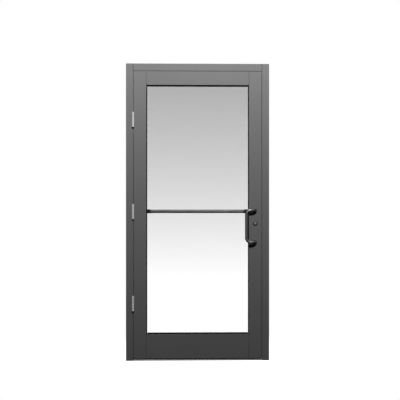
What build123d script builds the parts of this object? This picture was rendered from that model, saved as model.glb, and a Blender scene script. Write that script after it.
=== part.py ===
# A glazed aluminium door leaf in its frame, seen from outside. Lengths are in millimetres.
# X runs to the right, Y runs from outside to inside, Z runs up. The floor is at Z zero
# and the frame is centred on X and Y zero. The leaf hangs on the left and swings outwards.
import math
import os

from build123d import *

os.makedirs("parts", exist_ok=True)

# Frame
frame_width = 1016.0
frame_height = 2106.0
frame_depth = 114.0
jamb_face = 51.0
head_face = 51.0
wall = 3.2  # every hollow member, and so every plate let into one
edge_radius = 1.0  # eased corners of the hollow members

# Threshold
threshold_height = 12.7
threshold_set = 1.0  # its front edge behind the frame face, its back edge is in line with it
threshold_lip = 2.0  # height of its front and back edges
threshold_slope = 20.0  # depth of the ramp behind each edge
threshold_skin = 4.0
threshold_pad = 28.0  # middle foot, the outer feet take the rest
threshold_foot = 17.0
flute_width = 2.0
flute_depth = 1.0
flute_pitch = 6.0
flute_count = 4  # flutes on each side of the middle land

# Stops and their bulb seals
stop_proud = 16.0
stop_depth = 22.0
stop_skin = 2.0
stop_front = 6.4  # thicker wall that carries the seal race
rib_height = 3.0  # ribs on the frame that the stops snap over
rib_width = 2.0
rib_fit = 0.1
seal_space = 5.0  # between stop and leaf
seal_touch = 0.3  # left between bulb and leaf
seal_skin = 0.9
race_neck = 3.0
race_neck_depth = 1.8
race_width = 6.0
race_depth = 4.0
seal_fit = 0.15

# Anchor holes through the jambs, hidden by the stops
anchor_radius = 4.25
anchor_height_shares = (0.12, 0.37, 0.63, 0.88)

# Leaf
leaf_gap = 2.5
sill_gap = 3.0
leaf_thickness = 44.5
stile_face = 90.1
top_rail_face = 97.4
bottom_rail_face = 173.3
joint_gap = 0.4  # seam between rail and stile faces
pocket = 14.0  # depth of the glazing pocket behind its leg
leg = 5.5  # thickness of the glazing leg
leg_ease = 0.6

# Glazing
outer_gasket = 4.5
pane = 6.0
pane_space = 10.0
inner_gasket = 4.0
pane_edge_gap = 4.0
spacer_width = 7.0
gasket_lip = 5.4  # what shows of the rubber beyond the leg, up the sides
level_lip = 10.0  # the same along head and foot
gasket_rise = 2.6  # how far the lip stands up beside the leg
gasket_root = 9.0
gasket_edge = 0.9
tongue_width = 3.0  # tongue of the outer rubber in the race of the leg
tongue_depth = 2.4
tongue_set = 4.0  # from the edge of the leg to the tongue
tongue_fit = 0.1
inner_lip = 3.5
bead_skin = 1.8
bead_chamfer = 1.4
block_length = 100.0
block_inset_share = 0.25

# Clips, tie rods and nuts that hold the members together
clip_skin = 4.0
clip_reach = 40.0
clip_fit = 0.4
head_screw_radius = 3.0
head_screw_head = 6.0
head_screw_head_height = 4.0
head_screw_tail = 5.0
head_screw_pitch_share = 0.5
rod_radius = 5.0
rod_fit = 0.1
rod_tail = 5.0
nut_radius = 9.8  # across its corners
nut_height = 8.0

# Hinges
hinge_height = 101.6
hinge_height_shares = (0.1931, 0.5019, 0.8108)
hinge_names = ("bottom", "middle", "top")
hinge_plate_share = 0.764  # of the leaf thickness
knuckle_radius = 7.1
knuckle_count = 5
knuckle_gap = 0.4
knuckle_clear = 0.5
knuckle_stand = 0.9  # between barrel and frame face
pin_set = 1.6  # of the pin towards the jamb, from the middle of the gap
pin_radius = 3.5
pin_fit = 0.05
tip_radius = 6.4
tip_height = 2.6
tip_gap = 0.2
tip_ease = 1.0
backing = 4.8
backing_margin = 14.0
backing_gap = 0.5
cut_gap = 0.3

# Pull outside
backset_share = 0.6045  # line of handles and lock across the tube of the stile
pull_radius = 11.0
pull_top_share = 0.5068  # of the frame height
pull_centres = 225.0
pull_offset = 65.6
pull_stand = 50.0
pull_arm_stand_share = 0.68  # bend of the arms, of the stand or of the offset
pull_arm_offset_share = 0.6
pull_grip_bend_share = 0.97  # bend of the grip, of what the arm leaves
bolt_radius = 4.0
bolt_fit = 0.2
bolt_depth = 18.0
bolt_spare = 1.0
bolt_head = 8.0
bolt_head_height = 5.0

# Push bar inside
bar_height_share = 0.502  # of the frame height
bar_radius = 12.5
bar_skin = 2.0
bar_stand = 62.0
bar_fit = 0.05
bar_grip = 20.0  # length held in each socket
socket_radius = 14.5
socket_bend_share = 0.58
socket_reach = 70.0  # from the fixing line to the mouth of the socket
flange_radius = 19.0
flange_height = 4.0
flange_ease = 1.5

# Lock
lock_height_share = 0.462  # of the frame height
case_gap = 1.6  # between the case and the far wall of the stile
case_thickness = 20.0
case_below = 55.0
case_above = 45.0
case_skin = 2.0
front_margin = 2.5
front_below = 90.0
front_above = 80.0
cylinder_radius = 14.7
cylinder_stand = 8.0
cylinder_bevel = 5.0  # round its face
cylinder_fit = 0.15
collar_radius = 17.2
collar_height = 3.6
collar_ease = 2.0
plug_radius = 6.4
plug_recess = 0.4
plug_fit = 0.05
keyway_width = 2.2
keyway_height = 8.5
keyway_depth = 12.0
cam_radius = 12.0
cam_width = 7.0
cam_thickness = 2.4
cam_gap = 0.3
lever_radius_share = 0.3913  # of the backset
lever_half_swing = 45.0  # degrees each side of straight down
lever_hub = 8.0
lever_tip = 3.5
lever_arm = 4.0
lever_thickness = 6.0
spindle_radius = 5.0
spindle_fit = 0.05
turn_stand = 5.0
turn_length = 34.0
turn_width = 10.0
turn_height = 17.0
turn_gap = 0.4
turn_ease = 1.5
bolt_bar_height = 20.0
hub_gap = 1.0  # between the hub of the lever and the top of the bolt
bolt_bar_recess = 0.8
bolt_bar_tail = 5.0
bolt_bar_fit = 0.4
notch_half = 4.4
notch_flare = 3.2
notch_neck = 4.0
notch_gap = 1.1
strike_width = 32.0
strike_height = 100.0
strike_play = 1.2  # round the thrown bolt
corner_radius = 3.0

# Sweep at the foot of the leaf, inside
sweep_thickness = 8.0
sweep_height = 30.0
sweep_lift = 4.0
sweep_end_gap = 3.0
sweep_ease = 1.5
blade_thickness = 4.0
blade_slot = 9.0
blade_fit = 0.1
blade_touch = 0.4

# Derived lines
front = -frame_depth / 2
rear = frame_depth / 2
left_face = jamb_face - frame_width / 2
right_face = frame_width / 2 - jamb_face
head_line = frame_height - head_face
leaf_left = left_face + leaf_gap
leaf_right = right_face - leaf_gap
leaf_bottom = threshold_height + sill_gap
leaf_top = head_line - leaf_gap
leaf_rear = front + leaf_thickness
leaf_middle = front + leaf_thickness / 2
stile_tube = stile_face - pocket
sight_left = leaf_left + stile_face
sight_right = leaf_right - stile_face
sight_bottom = leaf_bottom + bottom_rail_face
sight_top = leaf_top - top_rail_face
pane_front = front + leg + outer_gasket
pane_rear = pane_front + pane + pane_space + pane
bead_front = pane_rear + inner_gasket
stop_line = leaf_rear + seal_space
stop_middle = stop_line + stop_depth / 2
pin_x = left_face + leaf_gap / 2 - pin_set
pin_y = front - knuckle_radius - knuckle_stand
backset = stile_tube * backset_share
fixing_right = leaf_right - backset
fixing_left = leaf_left + backset
anchor_heights = [share * frame_height for share in anchor_height_shares]
hinge_heights = [share * frame_height for share in hinge_height_shares]
hinge_plate_depth = hinge_plate_share * leaf_thickness
pull_top = pull_top_share * frame_height
pull_bottom = pull_top - pull_centres
lock_height = lock_height_share * frame_height
bar_height = bar_height_share * frame_height
slack = wall  # run-out of every cutting tool


def box(x, y, z):
    # A block between pairs of coordinates.
    centre = Pos((x[0] + x[1]) / 2, (y[0] + y[1]) / 2, (z[0] + z[1]) / 2)
    return centre * Box(x[1] - x[0], y[1] - y[0], z[1] - z[0])


def rod_x(y, z, radius, span):
    foot = (Align.CENTER, Align.CENTER, Align.MIN)
    return Pos(span[0], y, z) * Rot(0, 90, 0) * Cylinder(radius, span[1] - span[0], align=foot)


def rod_y(x, z, radius, span):
    foot = (Align.CENTER, Align.CENTER, Align.MIN)
    return Pos(x, span[0], z) * Rot(-90, 0, 0) * Cylinder(radius, span[1] - span[0], align=foot)


def rod_z(x, y, radius, span):
    foot = (Align.CENTER, Align.CENTER, Align.MIN)
    return Pos(x, y, span[0]) * Cylinder(radius, span[1] - span[0], align=foot)


def along_x(section, span):
    # A section drawn in (Y, Z) and pushed along X.
    return Pos(span[0], 0, 0) * extrude(Plane.YZ * section, span[1] - span[0], dir=(1, 0, 0))


def along_y(section, span):
    # A section drawn in (X, Z) and pushed along Y.
    return Pos(0, span[0], 0) * extrude(Plane.XZ * section, span[1] - span[0], dir=(0, 1, 0))


def along_z(section, span):
    # A section drawn in (X, Y) and pushed along Z.
    return Pos(0, 0, span[0]) * extrude(section, span[1] - span[0], dir=(0, 0, 1))


def outline(points):
    return Polygon(*points, align=None)


def patch(x, y):
    # A rectangle between pairs of coordinates.
    return Pos((x[0] + x[1]) / 2, (y[0] + y[1]) / 2) * Rectangle(x[1] - x[0], y[1] - y[0])


def eased(section, spots, radius):
    # Rounds the corners of a section that lie nearest to the given spots.
    corners = [min(section.vertices(), key=lambda v: math.hypot(v.X - s[0], v.Y - s[1])) for s in spots]
    return fillet(corners, radius)


def group(pieces):
    return Compound(children=list(pieces))


def save(name, shape):
    export_step(shape, f"parts/{name}.step")


# Jambs: full height, ribs for the stops on the inner face, cut-outs for hinges and strike
rib_rows = (
    (stop_line + stop_front + rib_fit, stop_line + stop_front + rib_fit + rib_width),
    (stop_line + stop_depth - stop_skin - rib_fit - rib_width, stop_line + stop_depth - stop_skin - rib_fit),
)


def jamb(side):
    # side is -1 for the left jamb and 1 for the right one.
    inner = side * right_face
    outer = side * frame_width / 2
    across = tuple(sorted((inner, outer)))
    solid = patch(across, (front, rear))
    solid = eased(solid, [(x, y) for x in across for y in (front, rear)], edge_radius)
    solid -= patch((across[0] + wall, across[1] - wall), (front + wall, rear - wall))
    body = along_z(solid, (0, frame_height))
    rib_x = tuple(sorted((inner, inner - side * rib_height)))
    for row in rib_rows:
        body += box(rib_x, row, (threshold_height, head_line))
    for height in anchor_heights:
        body -= rod_x(stop_middle, height, anchor_radius, (across[0] - slack, across[1] + slack))
    return body


hinge_spans = [(h - hinge_height / 2, h + hinge_height / 2) for h in hinge_heights]
bolt_top = lock_height - lever_hub - hub_gap
bolt_middle = bolt_top - bolt_bar_height / 2
strike_z = (bolt_middle - strike_height / 2, bolt_middle + strike_height / 2)
strike_y = (leaf_middle - strike_width / 2, leaf_middle + strike_width / 2)


def grown(span, margin):
    return (span[0] - margin, span[1] + margin)


head_screw_z = head_line + head_face / 2
head_screw_rows = [side * frame_depth * head_screw_pitch_share / 2 for side in (1, -1)]
head_screw_hole = head_screw_radius + rod_fit

hinge_jamb = jamb(-1)
for span in hinge_spans:
    cut_y = (front - slack, front + hinge_plate_depth + cut_gap)
    hinge_jamb -= box((left_face - wall, left_face + slack), cut_y, grown(span, cut_gap))
for y in head_screw_rows:
    hinge_jamb -= rod_x(y, head_screw_z, head_screw_hole, (left_face - wall - slack, left_face + slack))
save("hinge_jamb", hinge_jamb)

strike_jamb = jamb(1)
strike_cut_x = (right_face - slack, right_face + wall)
strike_jamb -= box(strike_cut_x, grown(strike_y, cut_gap), grown(strike_z, cut_gap))
for y in head_screw_rows:
    strike_jamb -= rod_x(y, head_screw_z, head_screw_hole, (right_face - slack, right_face + wall + slack))
save("strike_jamb", strike_jamb)

# Head between the jambs
head_section = patch((front, rear), (head_line, frame_height))
head_corners = [(y, z) for y in (front, rear) for z in (head_line, frame_height)]
head_section = eased(head_section, head_corners, edge_radius)
head_section -= patch((front + wall, rear - wall), (head_line + wall, frame_height - wall))
head = along_x(head_section, (left_face, right_face))
for row in rib_rows:
    head += box((left_face + stop_proud, right_face - stop_proud), row, (head_line - rib_height, head_line))
save("head", head)


def clip(face, way, y, z):
    # A channel on its back: a plate on a member's side and two flanges inside the next member.
    far = face + way * clip_reach
    near = face + way * clip_skin
    body = box(sorted((face, far)), y, z)
    body -= box(sorted((near, far + way * slack)), y, grown(z, -clip_skin))
    return body


clip_y = grown((front + wall, rear - wall), -clip_fit)
clip_z = grown((head_line + wall, frame_height - wall), -clip_fit)
head_clips = []
head_screws = []
for face, way in ((left_face, 1), (right_face, -1)):
    body = clip(face, way, clip_y, clip_z)
    web = sorted((face - way * slack, face + way * (clip_skin + slack)))
    seat = face + way * clip_skin
    shank = sorted((seat, face - way * (wall + head_screw_tail)))
    crown = sorted((seat, seat + way * head_screw_head_height))
    for y in head_screw_rows:
        body -= rod_x(y, head_screw_z, head_screw_hole, web)
        screw = rod_x(y, head_screw_z, head_screw_radius, shank)
        head_screws.append(screw + rod_x(y, head_screw_z, head_screw_head, crown))
    head_clips.append(body)
save("head_clips", group(head_clips))
save("head_screws", group(head_screws))

# Threshold: a fluted saddle on three feet
half = (frame_depth - threshold_set) / 2
saddle_y = rear - half
ramp = half - threshold_slope
saddle = outline(
    [
        (-half, 0),
        (half, 0),
        (half, threshold_lip),
        (ramp, threshold_height),
        (-ramp, threshold_height),
        (-half, threshold_lip),
    ]
)
cavity_z = (0, threshold_height - threshold_skin)
for side in (1, -1):
    cavity = sorted((side * threshold_pad / 2, side * (half - threshold_foot)))
    saddle -= patch(cavity, cavity_z)
    for index in range(flute_count):
        middle = side * (threshold_pad / 2 - flute_pitch + index * flute_pitch)
        flute = (middle - flute_width / 2, middle + flute_width / 2)
        saddle -= patch(flute, (threshold_height - flute_depth, threshold_height + slack))
save("threshold", along_x(Pos(saddle_y, 0) * saddle, (left_face, right_face)))


# Stops: channels that snap over the ribs, with a race for the seal in the wall facing the leaf
def stop_section():
    # Drawn as (distance from the frame face, depth behind the stop line).
    middle = stop_proud / 2
    section = patch((0, stop_proud), (0, stop_depth))
    section = eased(section, [(stop_proud, 0), (stop_proud, stop_depth)], edge_radius)
    section -= patch((-slack, stop_proud - stop_skin), (stop_front, stop_depth - stop_skin))
    section -= patch((middle - race_neck / 2, middle + race_neck / 2), (-slack, race_depth))
    section -= patch((middle - race_width / 2, middle + race_width / 2), (race_neck_depth, race_depth))
    return section


def seal_section():
    middle = stop_proud / 2
    bulb = (seal_space - seal_touch) / 2
    neck = race_neck / 2 - seal_fit
    root = race_width / 2 - seal_fit
    section = Pos(middle, -bulb) * Circle(bulb)
    section += patch((middle - neck, middle + neck), (-bulb, race_depth - seal_fit))
    section += patch((middle - root, middle + root), (race_neck_depth + seal_fit, race_depth - seal_fit))
    section -= Pos(middle, -bulb) * Circle(bulb - seal_skin)
    return section


def on_left(section):
    return Pos(left_face, stop_line) * section


def on_right(section):
    return mirror(Pos(-right_face, stop_line) * section, Plane.YZ)


def on_head(section):
    # The section's own axes turn so that it hangs from the head.
    return Pos(stop_line, head_line) * Rot(0, 0, -90) * section


upright = (threshold_height, head_line)
level = (left_face + stop_proud, right_face - stop_proud)
save("hinge_jamb_stop", along_z(on_left(stop_section()), upright))
save("strike_jamb_stop", along_z(on_right(stop_section()), upright))
save("head_stop", along_x(on_head(stop_section()), level))
save("hinge_jamb_seal", along_z(on_left(seal_section()), upright))
save("strike_jamb_seal", along_z(on_right(seal_section()), upright))
save("head_seal", along_x(on_head(seal_section()), level))


# Leaf members: a tube with a glazing leg that carries a race for the outer rubber
def member(face, tube, webs):
    # Drawn as (distance from the leaf edge, depth behind the leaf face).
    section = patch((0, tube), (0, leaf_thickness)) + patch((0, face), (0, leg))
    section = eased(section, [(0, 0), (0, leaf_thickness), (tube, leaf_thickness)], edge_radius)
    section = eased(section, [(face, 0)], leg_ease)
    race = face - tongue_set
    section -= patch((race - tongue_width, race), (leg - tongue_depth, leg + slack))
    cell = (tube - wall) / (webs + 1)
    for index in range(webs + 1):
        hollow = (wall + index * cell, (index + 1) * cell)
        section -= patch(hollow, (wall, leaf_thickness - wall))
    return section


rail_span = (leaf_left + stile_tube, leaf_right - stile_tube)
top_tube = top_rail_face - pocket
bottom_tube = bottom_rail_face - pocket
bottom_cell = (bottom_tube - wall) / 2


def coped(body):
    # Both ends of a rail step back in front so that they close on the legs of the stiles.
    z = (0, frame_height)
    y = (front - slack, front + leg)
    body -= box((leaf_left, sight_left + joint_gap), y, z)
    body -= box((sight_right - joint_gap, leaf_right), y, z)
    return body


top_section = Pos(front, leaf_top) * Rot(0, 0, -90) * member(top_rail_face, top_tube, 0)
bottom_section = Pos(front, -leaf_bottom) * Rot(0, 0, -90) * member(bottom_rail_face, bottom_tube, 1)
bottom_section = mirror(bottom_section, Plane.XZ)
save("top_rail", coped(along_x(top_section, rail_span)))
save("bottom_rail", coped(along_x(bottom_section, rail_span)))

# Tie rods through both rails, with channel clips in the rail ends and nuts in the stiles
cells = (
    (leaf_top - top_tube + wall, leaf_top - wall),
    (leaf_bottom + wall, leaf_bottom + bottom_cell),
    (leaf_bottom + bottom_cell + wall, leaf_bottom + bottom_cell * 2),
)
rod_heights = [(low + high) / 2 for low, high in cells]
block_y = grown((front + wall, leaf_rear - wall), -clip_fit)
nut_seat = rail_span[0] - wall
rod_span = (nut_seat - nut_height - rod_tail, rail_span[1] + wall + nut_height + rod_tail)
corner_blocks = []
tie_rods = []
nuts = []
for cell, height in zip(cells, rod_heights):
    tie_rods.append(rod_x(leaf_middle, height, rod_radius, rod_span))
    for face, way in ((rail_span[0], 1), (rail_span[1], -1)):
        body = clip(face, way, block_y, grown(cell, -clip_fit))
        body -= box(
            sorted((face, sight_left + joint_gap if way > 0 else sight_right - joint_gap)),
            (front, front + leg),
            cell,
        )
        bore = sorted((face - way * slack, face + way * (clip_skin + slack)))
        corner_blocks.append(body - rod_x(leaf_middle, height, rod_radius + rod_fit, bore))
        seat = face - way * wall
        hexagon = Pos(leaf_middle, height) * (RegularPolygon(nut_radius, 6) - Circle(rod_radius + rod_fit))
        nuts.append(along_x(hexagon, sorted((seat, seat - way * nut_height))))
save("corner_blocks", group(corner_blocks))
save("tie_rods", group(tie_rods))
save("tie_rod_nuts", group(nuts))

# Stiles: full height
stile_section = Pos(leaf_left, front) * member(stile_face, stile_tube, 0)
stile_height = (leaf_bottom, leaf_top)
case_y = (leaf_middle - case_thickness / 2, leaf_middle + case_thickness / 2)
front_z = (lock_height - front_below, lock_height + front_above)
front_y = (case_y[0] - front_margin, case_y[1] + front_margin)


def bored_for_rods(body, seat, way):
    for height in rod_heights:
        bore = sorted((seat + way * slack, seat - way * (wall + slack)))
        body -= rod_x(leaf_middle, height, rod_radius + rod_fit, bore)
    return body


hinge_stile = bored_for_rods(along_z(stile_section, stile_height), rail_span[0], 1)
for span in hinge_spans:
    cut_y = (front - slack, front + hinge_plate_depth + cut_gap)
    hinge_stile -= box((leaf_left - slack, leaf_left + wall), cut_y, grown(span, cut_gap))
rear_wall = (leaf_rear - wall - slack, leaf_rear + slack)
front_wall = (front - slack, front + wall + slack)
hinge_stile -= rod_y(fixing_left, bar_height, bolt_radius + bolt_fit, rear_wall)
save("hinge_stile", hinge_stile)

lock_section = mirror(Pos(-leaf_right, front) * member(stile_face, stile_tube, 0), Plane.YZ)
lock_stile = bored_for_rods(along_z(lock_section, stile_height), rail_span[1], -1)
for height in (pull_top, pull_bottom):
    lock_stile -= rod_y(fixing_right, height, bolt_radius + bolt_fit, front_wall)
lock_stile -= rod_y(fixing_right, bar_height, bolt_radius + bolt_fit, rear_wall)
lock_bore = cylinder_radius + cylinder_fit
lock_stile -= rod_y(fixing_right, lock_height, lock_bore, (front - slack, leaf_rear + slack))
lock_stile -= box((leaf_right - wall, leaf_right + slack), grown(front_y, cut_gap), grown(front_z, cut_gap))
save("lock_stile", lock_stile)

# Panes, spacer and setting blocks
pane_x = (leaf_left + stile_tube + pane_edge_gap, leaf_right - stile_tube - pane_edge_gap)
pane_z = (leaf_bottom + bottom_tube + pane_edge_gap, leaf_top - top_tube - pane_edge_gap)
save("outer_pane", box(pane_x, (pane_front, pane_front + pane), pane_z))
save("inner_pane", box(pane_x, (pane_rear - pane, pane_rear), pane_z))
spacer = patch(pane_x, pane_z) - patch(grown(pane_x, -spacer_width), grown(pane_z, -spacer_width))
save("pane_spacer", along_y(spacer, (pane_front + pane, pane_rear - pane)))
blocks = []
for side in (1, -1):
    middle = side * (pane_x[1] - pane_x[0]) * block_inset_share
    block_x = (middle - block_length / 2, middle + block_length / 2)
    blocks.append(box(block_x, (pane_front, pane_rear), (leaf_bottom + bottom_tube, pane_z[0])))
save("setting_blocks", group(blocks))


# Rubber strips round the pane, mitred at the corners
def strips(section, level_section):
    # Sections are drawn as (distance from the sight line towards the pane, depth behind the leaf face).
    reach = gasket_root + max(gasket_lip, level_lip)
    wide = (sight_left - reach, sight_right + reach)
    tall = (sight_bottom - reach, sight_top + reach)
    width = sight_right - sight_left
    height = sight_top - sight_bottom
    half_span = min(width, height) / 2
    left = along_z(Pos(sight_left, front) * section, tall)
    right = along_z(mirror(Pos(-sight_right, front) * section, Plane.YZ), tall)
    top = along_x(Pos(front, sight_top) * Rot(0, 0, -90) * level_section, wide)
    bottom = along_x(mirror(Pos(front, -sight_bottom) * Rot(0, 0, -90) * level_section, Plane.XZ), wide)
    pieces = []
    for piece, piece_is_level, corners in (
        (left, False, ((sight_left, sight_bottom, -1, -1), (sight_left, sight_top, -1, 1))),
        (right, False, ((sight_right, sight_bottom, 1, -1), (sight_right, sight_top, 1, 1))),
        (bottom, True, ((sight_left, sight_bottom, -1, -1), (sight_right, sight_bottom, 1, -1))),
        (top, True, ((sight_left, sight_top, -1, 1), (sight_right, sight_top, 1, 1))),
    ):
        points = []
        for x, z, sx, sz in corners:
            points.append((x + sx * reach, z + sz * reach))
        for x, z, sx, sz in reversed(corners):
            points.append((x - sx * half_span, z - sz * half_span))
        piece = piece & along_y(outline(points), (front, leaf_rear))
        pieces.append(coped(piece) if piece_is_level else piece)
    return pieces


def outer_rubber(lip):
    section = outline(
        [
            (-gasket_root, leg),
            (tongue_fit, leg),
            (tongue_fit, gasket_rise),
            (lip, leg + outer_gasket - gasket_edge),
            (lip, leg + outer_gasket),
            (-gasket_root, leg + outer_gasket),
        ]
    )
    tongue = (-tongue_set - tongue_width + tongue_fit, -tongue_set - tongue_fit)
    return section + patch(tongue, (leg - tongue_depth + tongue_fit, leg))


save("outer_gaskets", group(strips(outer_rubber(gasket_lip), outer_rubber(level_lip))))

pane_back = leg + outer_gasket + pane + pane_space + pane
inner_rubber = outline(
    [
        (-gasket_root, pane_back),
        (inner_lip, pane_back),
        (inner_lip, pane_back + gasket_edge),
        (0, pane_back + inner_gasket),
        (-gasket_root, pane_back + inner_gasket),
    ]
)
save("inner_gaskets", group(strips(inner_rubber, inner_rubber)))


# Glazing beads: channels that close the pocket inside
def bead_section():
    # Drawn as (distance from the tube towards the pane, depth behind the bead's front).
    depth = leaf_rear - bead_front
    section = patch((0, pocket), (0, depth))
    corner = min(section.vertices(), key=lambda v: math.hypot(v.X - pocket, v.Y - depth))
    section = chamfer(corner, bead_chamfer)
    return section - patch((-slack, pocket - bead_skin), (bead_skin, depth - bead_skin))


bead_low = leaf_bottom + bottom_tube
bead_high = leaf_top - top_tube
bead_z = (sight_bottom, sight_top)
save("top_bead", along_x(Pos(bead_front, bead_high) * Rot(0, 0, -90) * bead_section(), rail_span))
save(
    "bottom_bead",
    along_x(mirror(Pos(bead_front, -bead_low) * Rot(0, 0, -90) * bead_section(), Plane.XZ), rail_span),
)
save("hinge_side_bead", along_z(Pos(rail_span[0], bead_front) * bead_section(), bead_z))
save("lock_side_bead", along_z(mirror(Pos(-rail_span[1], bead_front) * bead_section(), Plane.YZ), bead_z))

# Hinges: five knuckles on a pin, three on the fixed leaf and two on the moving one
plate_y = (pin_y, front + hinge_plate_depth)
fixed_x = (left_face - wall, left_face)
moving_x = (leaf_left, leaf_left + wall)


def knuckles(span):
    pitch = (span[1] - span[0] + knuckle_gap) / knuckle_count
    rows = []
    for index in range(knuckle_count):
        low = span[0] + index * pitch
        rows.append((low, low + pitch - knuckle_gap))
    return rows


def hinge_leaf(span, plate_x, own, other):
    body = box(plate_x, plate_y, span)
    for row in other:
        body -= rod_z(pin_x, pin_y, knuckle_radius + knuckle_clear, grown(row, knuckle_gap))
    for row in own:
        body += rod_z(pin_x, pin_y, knuckle_radius, row)
    return body - rod_z(pin_x, pin_y, pin_radius + pin_fit, grown(span, slack))


def hinge_pin(span):
    body = rod_z(pin_x, pin_y, pin_radius, grown(span, tip_gap))
    upper = rod_z(pin_x, pin_y, tip_radius, (span[1] + tip_gap, span[1] + tip_gap + tip_height))
    lower = rod_z(pin_x, pin_y, tip_radius, (span[0] - tip_gap - tip_height, span[0] - tip_gap))
    upper = chamfer(upper.edges().group_by(Axis.Z)[-1], tip_ease)
    lower = chamfer(lower.edges().group_by(Axis.Z)[0], tip_ease)
    return body + upper + lower


jamb_backing = []
stile_backing = []
for name, span in zip(hinge_names, hinge_spans):
    rows = knuckles(span)
    save(f"{name}_hinge_jamb_leaf", hinge_leaf(span, fixed_x, rows[0::2], rows[1::2]))
    save(f"{name}_hinge_door_leaf", hinge_leaf(span, moving_x, rows[1::2], rows[0::2]))
    save(f"{name}_hinge_pin", hinge_pin(span))
    back_y = (front + wall + backing_gap, front + hinge_plate_depth + backing_margin / 2)
    back_z = grown(span, backing_margin)
    jamb_backing.append(box((left_face - wall - backing, left_face - wall), back_y, back_z))
    stile_y = (back_y[0], min(back_y[1], leaf_rear - wall - backing_gap))
    stile_backing.append(box((leaf_left + wall, leaf_left + wall + backing), stile_y, back_z))

# Strike in the right jamb
bolt_side = case_skin + cam_gap + cam_thickness + cam_gap
bolt_y = (case_y[0] + bolt_side, case_y[1] - bolt_side)
bolt_z = (bolt_top - bolt_bar_height, bolt_top)


def pierced(plate, x):
    return plate - box(grown(x, slack), grown(bolt_y, strike_play), grown(bolt_z, strike_play))


def plate(y, z, x):
    corners = [(a, b) for a in y for b in z]
    return along_x(eased(patch(y, z), corners, corner_radius), x)


strike_x = (right_face, right_face + wall)
save("strike_plate", pierced(plate(strike_y, strike_z, strike_x), strike_x))
strike_back_x = (right_face + wall, right_face + wall + backing)
strike_back_y = (front + wall + backing_gap, strike_y[1] + backing_margin / 2)
strike_back = box(strike_back_x, strike_back_y, grown(strike_z, backing_margin))
jamb_backing.append(pierced(strike_back, strike_back_x))
save("jamb_backing", group(jamb_backing))
save("stile_backing", group(stile_backing))

# Lock case and front
case_x = (rail_span[1] + wall + case_gap, leaf_right - wall)
case_z = (lock_height - case_below, lock_height + case_above)
case_inside_y = grown(case_y, -case_skin)
lock_case = box(case_x, case_y, case_z)
lock_case -= box(grown(case_x, -case_skin), case_inside_y, grown(case_z, -case_skin))
lock_case -= rod_y(fixing_right, lock_height, lock_bore, grown(case_y, slack))
mouth_x = (case_x[1] - case_skin - slack, case_x[1] + slack)
lock_case -= box(mouth_x, grown(bolt_y, bolt_bar_fit), grown(bolt_z, bolt_bar_fit))
save("lock_case", lock_case)
lock_front_x = (leaf_right - wall, leaf_right)
lock_front = plate(front_y, front_z, lock_front_x)
lock_front -= box(grown(lock_front_x, slack), grown(bolt_y, bolt_bar_fit), grown(bolt_z, bolt_bar_fit))
save("lock_front", lock_front)

# Cylinders through both faces of the stile, each with its ring
outer_end = front - cylinder_stand
inner_end = leaf_rear + turn_stand
outer_y = (outer_end, case_inside_y[0])
outer_cylinder = rod_y(fixing_right, lock_height, cylinder_radius, outer_y)
face_edge = outer_cylinder.edges().filter_by(GeomType.CIRCLE).group_by(Axis.Y)[0]
outer_cylinder = chamfer(face_edge, cylinder_bevel)
outer_cylinder -= rod_y(fixing_right, lock_height, plug_radius + plug_fit, grown(outer_y, slack))
save("outer_cylinder", outer_cylinder)
inner_y = (case_inside_y[1], inner_end)
inner_cylinder = rod_y(fixing_right, lock_height, cylinder_radius, inner_y)
inner_cylinder -= rod_y(fixing_right, lock_height, spindle_radius + spindle_fit, grown(inner_y, slack))
save("inner_cylinder", inner_cylinder)


def ring(span, outward):
    body = rod_y(fixing_right, lock_height, collar_radius, span)
    edge = body.edges().filter_by(GeomType.CIRCLE).group_by(Axis.Y)[outward]
    body = chamfer(edge, collar_ease)
    return body - rod_y(fixing_right, lock_height, lock_bore, grown(span, slack))


save("cylinder_collar", ring((front - collar_height, front), 0))
save("turn_rose", ring((leaf_rear, leaf_rear + collar_height), -1))

# Key plug with its cam
cam_y = (case_inside_y[0] + cam_gap, case_inside_y[0] + cam_gap + cam_thickness)
key_plug = rod_y(fixing_right, lock_height, plug_radius, (outer_end + plug_recess, cam_y[1]))
cam_x = (fixing_right - cam_width / 2, fixing_right + cam_width / 2)
lobe = box(cam_x, cam_y, (lock_height, lock_height + cam_radius))
keyway_y = (outer_end + plug_recess - slack, outer_end + plug_recess + keyway_depth)
keyway_x = (fixing_right - keyway_width / 2, fixing_right + keyway_width / 2)
key_plug += lobe
key_plug -= box(keyway_x, keyway_y, (lock_height - keyway_height / 2, lock_height + keyway_height / 2))
save("key_plug", key_plug)

# Thumb turn on its spindle, with the lever that throws the bolt
lever_y = (leaf_middle - lever_thickness / 2, leaf_middle + lever_thickness / 2)
turn_y = (inner_end + turn_gap, inner_end + turn_gap + turn_height)
blade = Pos(fixing_right, lock_height) * Rot(0, 0, 90) * SlotOverall(turn_length, turn_width)
turn = along_y(blade, turn_y)
turn = chamfer(turn.edges().group_by(Axis.Y)[-1], turn_ease)
turn += rod_y(fixing_right, lock_height, spindle_radius, (lever_y[0], turn_y[0]))
save("thumb_turn", turn)
swing = math.radians(lever_half_swing)
lever_radius = backset * lever_radius_share
tip_x = fixing_right - lever_radius * math.sin(swing)
tip_z = lock_height - lever_radius * math.cos(swing)
arm = Pos((fixing_right + tip_x) / 2, (lock_height + tip_z) / 2) * Rot(0, 0, lever_half_swing) * Rectangle(
    lever_radius, lever_arm
)
lever = arm + Pos(fixing_right, lock_height) * Circle(lever_hub) + Pos(tip_x, tip_z) * Circle(lever_tip)
lever -= Pos(fixing_right, lock_height) * Circle(spindle_radius + spindle_fit)
save("bolt_lever", along_y(lever, lever_y))

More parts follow.
